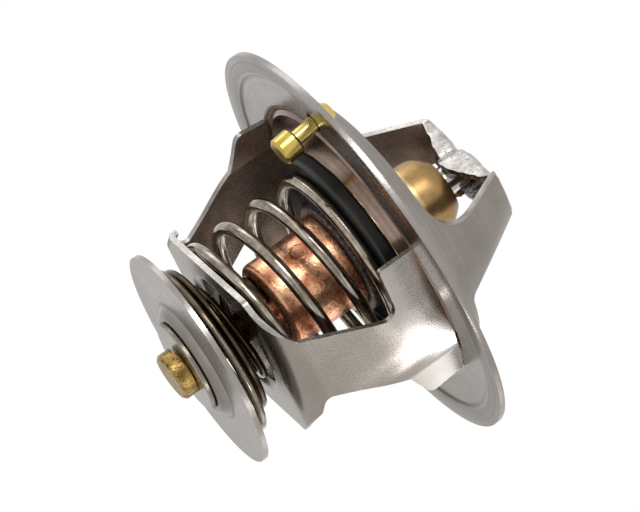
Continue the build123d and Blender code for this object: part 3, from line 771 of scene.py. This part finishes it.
def wing_side(curl_z):
    """What is cut away beside a leg on its wing's side, as (y, z)."""
    past = FRAME_HALF_Y + CLEAR
    return rounded([(past, curl_z), (FLARE_END_Y + FLARE_RUN, curl_z), (FLARE_END_Y, FLARE_Z),
                    (WAIST_Y[1], WAIST_Z), (CREASE_Y[0], KNEE_Z), (WING_Y[0], WING_Z), (WING_Y[1], FLAT_Z),
                    (WING_Y[1], CLEAR)],
                   [CURL_BEND, FLARE_BEND, WAIST_BEND, 0, WING_BEND, 0],
                   OUTLINE_STEPS) + [Vector((past, CLEAR))]


def plate_side(corner_ends):
    """What is cut away beside the plate's long edge and its slanting corners, as (x, y). With one corner
    end the corner that is bent up is left whole."""
    far_x = LEG_X + CLEAR
    far_y = PLATE_HALF_Y - CORNER_SLOPE * (far_x - FLARE_START_X)
    past = FRAME_HALF_Y + CLEAR
    ends = [(FLARE_START_X, PLATE_HALF_Y), (far_x, far_y)] if corner_ends == 2 else [(far_x, PLATE_HALF_Y)]
    return rounded([(-far_x, far_y), (-FLARE_START_X, PLATE_HALF_Y)] + ends, [CORNER_R] * corner_ends,
                   OUTLINE_STEPS) + [Vector((far_x, past)), Vector((-far_x, past))]


def lower_frame():
    """The stirrup: a flat grid is bent to the strip's shape, thickened and cut, and its lip is added."""
    half_run = LEG_START + (LEG_TOP_Z - LEG_START_Z) / LEG_WAY.y
    shape = bmesh.new()
    bmesh.ops.create_grid(shape, x_segments=FRAME_ROWS, y_segments=FRAME_COLUMNS, size=1)
    for vert in shape.verts:
        vert.co = strip_point(vert.co.x * half_run, vert.co.y * FRAME_HALF_Y)
    made = give(finish_mesh("lower_frame_strip", shape), stainless, sheared, inner_reflection_steel)
    thicken(made)
    paint_inner_reflection(made, 2)
    cutters = [prism(circle(0, 0, LIP_R + LIP_BEND, 128), PLATE_Z - CLEAR_SHEET,
                     PLATE_Z + SHEET + CLEAR_SHEET, "Z")]
    for way, tab_z, curl_z, corners in ((1, TAB_Z, CURL_Z, 2), (-1, FAR_TAB_Z, EAR_Z, 1)):
        low, high = sorted(way * x for x in CUT_X)
        for outline in (tab_side(tab_z), wing_side(curl_z)):
            cutters.append(prism([(way * y, z) for y, z in outline], low, high, "X"))
        cutters.append(prism([(way * x, way * y) for x, y in plate_side(corners)], PLATE_Z - CLEAR_SHEET,
                             FLARE_Z, "Z"))
    for cutter in cutters:
        combine(made, shear(cutter), "DIFFERENCE")
    lip = sheet_loop([(LIP_R + LIP_BEND + LIP_FOOT, PLATE_Z), (LIP_R, PLATE_Z), (LIP_R, LIP_TOP_Z)],
                     [LIP_BEND], -LIP_SHEET, steps=10)
    combine(made, give(finish_mesh("drawn_lip", spun(lip)), stainless, sheared, inner_reflection_steel), "UNION")
    round_edges(made)
    put(made, "lower_frame")


# Springs: round wire, wound right-handed

COIL_STEPS = 24         # points to a turn
NEST = 0.05             # room between nested pieces
MAIN_WIRE = 2.05
MAIN_R = 13.65
MAIN_TUCK_R = 11.3      # the wire's lower end is tucked in to this radius
BYPASS_WIRE = 1.35
BYPASS_FOOT_R = (13.7, 13.4)    # the wide turn on the disc, from its end up
BYPASS_HOLE_R = 8.0             # where the wire goes up through the plate's hole
BYPASS_TOP_R = 5.4
VALVE_LOW_Z = -2.4
CAPSULE_LOW_Z = -17.2
DISC_Z = -29.6


def coil(name, wire, cut, stations, finish, tilt=0.0):
    """A wire from its cut end, at a compass direction, upwards. Stations are (turns from the one before,
    radius, height). The foot leans as the disc does, and less and less so towards the top."""
    foot_z = stations[0][2]
    height = stations[-1][2] - foot_z
    points = [(math.radians(cut), stations[0][1], foot_z)]
    for turns, end_r, end_z in stations[1:]:
        first_angle, first_r, first_z = points[-1]
        steps = max(1, round(turns * COIL_STEPS))
        for step in range(1, steps + 1):
            share = step / steps
            points.append((first_angle + share * math.radians(turns * 360),
                           first_r + share * (end_r - first_r), first_z + share * (end_z - first_z)))
    line = bpy.data.curves.new(name, "CURVE")
    line.dimensions = "3D"
    line.bevel_depth = wire / 2 * MM
    line.bevel_resolution = 6
    line.resolution_u = 4
    line.use_fill_caps = True
    run = line.splines.new("NURBS")
    run.points.add(len(points) - 1)
    for at, (angle, r, z) in zip(run.points, points):
        askew = math.tan(math.radians(tilt)) * (1 - (z - foot_z) / height)
        lift = askew * r * math.cos(angle - math.radians(DISC_TILT_TO))
        at.co = (r * math.cos(angle) * MM, r * math.sin(angle) * MM, (z + lift) * MM, 1)
    run.order_u = 4
    run.use_endpoint_u = True
    carrier = bpy.data.objects.new(name + "_line", line)
    bpy.context.scene.collection.objects.link(carrier)
    mesh = bpy.data.meshes.new_from_object(carrier.evaluated_get(bpy.context.evaluated_depsgraph_get()))
    bpy.data.objects.remove(carrier)
    shape = bmesh.new()
    shape.from_mesh(mesh)
    bpy.data.meshes.remove(mesh)
    bmesh.ops.remove_doubles(shape, verts=shape.verts, dist=MERGE * MM)
    bmesh.ops.recalc_face_normals(shape, faces=shape.faces)
    bmesh.ops.scale(shape, vec=(1 / MM, 1 / MM, 1 / MM), verts=shape.verts)
    made = finish_mesh(name, shape, smooth_angle=50)
    made.data.materials.clear()
    return give(made, finish)


def main_spring():
    """Between the frame's plate and the valve: a tucked end, and a dead turn at either end."""
    low_z = PLATE_Z + SHEET + 2 * NEST + MAIN_WIRE / 2
    high_z = VALVE_LOW_Z - 2 * NEST - MAIN_WIRE / 2
    made = put(coil("main_spring_wire", MAIN_WIRE, -106.0, [
        (0, MAIN_TUCK_R, low_z), (0.16, MAIN_TUCK_R, low_z), (0.4, MAIN_R, low_z), (0.5, MAIN_R, low_z),
        (2.92, MAIN_R, high_z), (0.64, MAIN_R, high_z)], spring_steel), "main_spring")
    # the valve opens by 8 mm
    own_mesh(made)


def bypass_spring():
    """Between the disc and the capsule: wide turns that lean with the disc, and a small end above."""
    low_z = DISC_Z + BYPASS_WIRE / 2 + 2 * NEST
    high_z = CAPSULE_LOW_Z - BYPASS_WIRE / 2 - NEST
    foot_turns = 1.15
    made = coil("bypass_spring_wire", BYPASS_WIRE, 130.0, [
        (0, BYPASS_FOOT_R[0], low_z),
        (foot_turns, BYPASS_FOOT_R[1], low_z + foot_turns * (BYPASS_WIRE + 2 * NEST)),
        (1.35, BYPASS_HOLE_R, PLATE_Z - BYPASS_WIRE),
        (1.3, BYPASS_TOP_R, high_z), (0.7, BYPASS_TOP_R, high_z)], bypass_wire, DISC_TILT)
    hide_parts("bypass_spring")
    # its wide turns close up on the disc before they reach the frame's plate
    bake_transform(made)


flange_bridge()
lower_frame()
main_spring()
bypass_spring()

for node, finish in (
    ("valve_seat_ring", tinted_steel), ("piston", ground_steel), ("chafe_washer", white_disc),
    ("rubber_plug", element_rubber), ("guide", brass), ("wax_capsule", copper),
    ("diaphragm", element_rubber), ("wax_pellet", wax),
    ("main_valve_plate", stainless), ("valve_rubber_ring", valve_rubber),
    ("valve_collar", sintered), ("retaining_clip", spring_steel), ("bypass_pin", rough_brass),
    ("bypass_disc", disc_steel), ("bypass_washer", stainless), ("jiggle_pin", bright_brass),
):
    dress(node, finish)


# Stage: pale floor, white surroundings, soft lamps and the camera

def stage():
    """A pale floor far below, which metal mirrors as white, and a white room round it."""
    shape = bmesh.new()
    bmesh.ops.create_grid(shape, x_segments=1, y_segments=1, size=FLOOR_REACH)
    bmesh.ops.translate(shape, vec=(0, 0, FLOOR_Z), verts=shape.verts)
    floor = finish_mesh("floor", shape)
    # Painted floor: nearly white and matt, so it keeps a soft shadow
    material, tree, shader, _ = new_material("pale_floor")
    shader.inputs["Base Color"].default_value = linear("#EDEBE8")
    shader.inputs["Roughness"].default_value = 0.7
    seen = add(tree, "ShaderNodeLightPath")
    mirrored = add(tree, "ShaderNodeMath", {0: seen.outputs["Is Glossy Ray"],
                                            1: seen.outputs["Is Transmission Ray"]}, operation="MAXIMUM")
    share = add(tree, "ShaderNodeMath", {0: mirrored.outputs[0], 1: FLOOR_MIRRORED}, operation="MULTIPLY")
    white = add(tree, "ShaderNodeEmission", {"Color": (1, 1, 1, 1), "Strength": 1.0})
    both = add(tree, "ShaderNodeMixShader", {0: share.outputs[0], 1: shader.outputs["BSDF"],
                                             2: white.outputs[0]})
    output = next(n for n in tree.nodes if n.type == "OUTPUT_MATERIAL")
    tree.links.new(both.outputs[0], output.inputs["Surface"])
    floor.data.materials.append(material)
    world = bpy.data.worlds.new("studio")
    bpy.context.scene.world = world
    world.use_nodes = True
    tree = world.node_tree
    tree.nodes.clear()
    seen = add(tree, "ShaderNodeLightPath")
    most = add(tree, "ShaderNodeMath", {0: seen.outputs["Is Camera Ray"], 1: seen.outputs["Is Glossy Ray"]},
               operation="MAXIMUM")
    most = add(tree, "ShaderNodeMath", {0: most.outputs[0], 1: seen.outputs["Is Transmission Ray"]},
               operation="MAXIMUM")
    strength = add(tree, "ShaderNodeMapRange", {"Value": most.outputs[0], "To Min": ROOM_LIGHT,
                                                "To Max": 1.0})
    sky = add(tree, "ShaderNodeBackground", {"Color": (1, 1, 1, 1), "Strength": strength.outputs["Result"]})
    output = add(tree, "ShaderNodeOutputWorld")
    tree.links.new(sky.outputs["Background"], output.inputs["Surface"])


def lamp(name, at_mm, size_mm, brightness):
    """A soft square lamp that faces the part; its brightness is in times the white of the surroundings."""
    light = bpy.data.lights.new(name, "AREA")
    light.size = size_mm * MM
    light.energy = brightness * math.pi * (size_mm * MM) ** 2
    made = bpy.data.objects.new(name, light)
    made.location = Vector(at_mm) * MM
    made.rotation_euler = (-made.location).to_track_quat("-Z", "Y").to_euler()
    bpy.context.scene.collection.objects.link(made)


def camera():
    """A long lens that looks up at the part, turned about its view so the part lies aslant."""
    lens = bpy.data.cameras.new("camera")
    lens.lens = LENS
    lens.sensor_width = SENSOR
    lens.sensor_fit = "HORIZONTAL"
    lens.clip_start = 0.01
    made = bpy.data.objects.new("camera", lens)
    turn = (Matrix.Rotation(math.radians(VIEW_AZIMUTH), 4, "Z")
            @ Matrix.Rotation(math.radians(90 - VIEW_ELEVATION), 4, "X")
            @ Matrix.Rotation(math.radians(VIEW_ROLL), 4, "Z"))
    at = Matrix.Translation(Vector((-ORIGIN_RIGHT, -ORIGIN_UP, VIEW_DISTANCE)) * MM)
    made.matrix_world = turn @ at
    bpy.context.scene.collection.objects.link(made)
    bpy.context.scene.camera = made


stage()
lamp("key", (220, -600, 170), 260, 7.0)
lamp("right", (600, 285, -40), 150, 6.5)
lamp("left", (-480, -400, 150), 300, 1.4)
lamp("side", (120, 650, 45), 300, 1.0)
camera()
bpy.context.scene.view_settings.view_transform = "Standard"
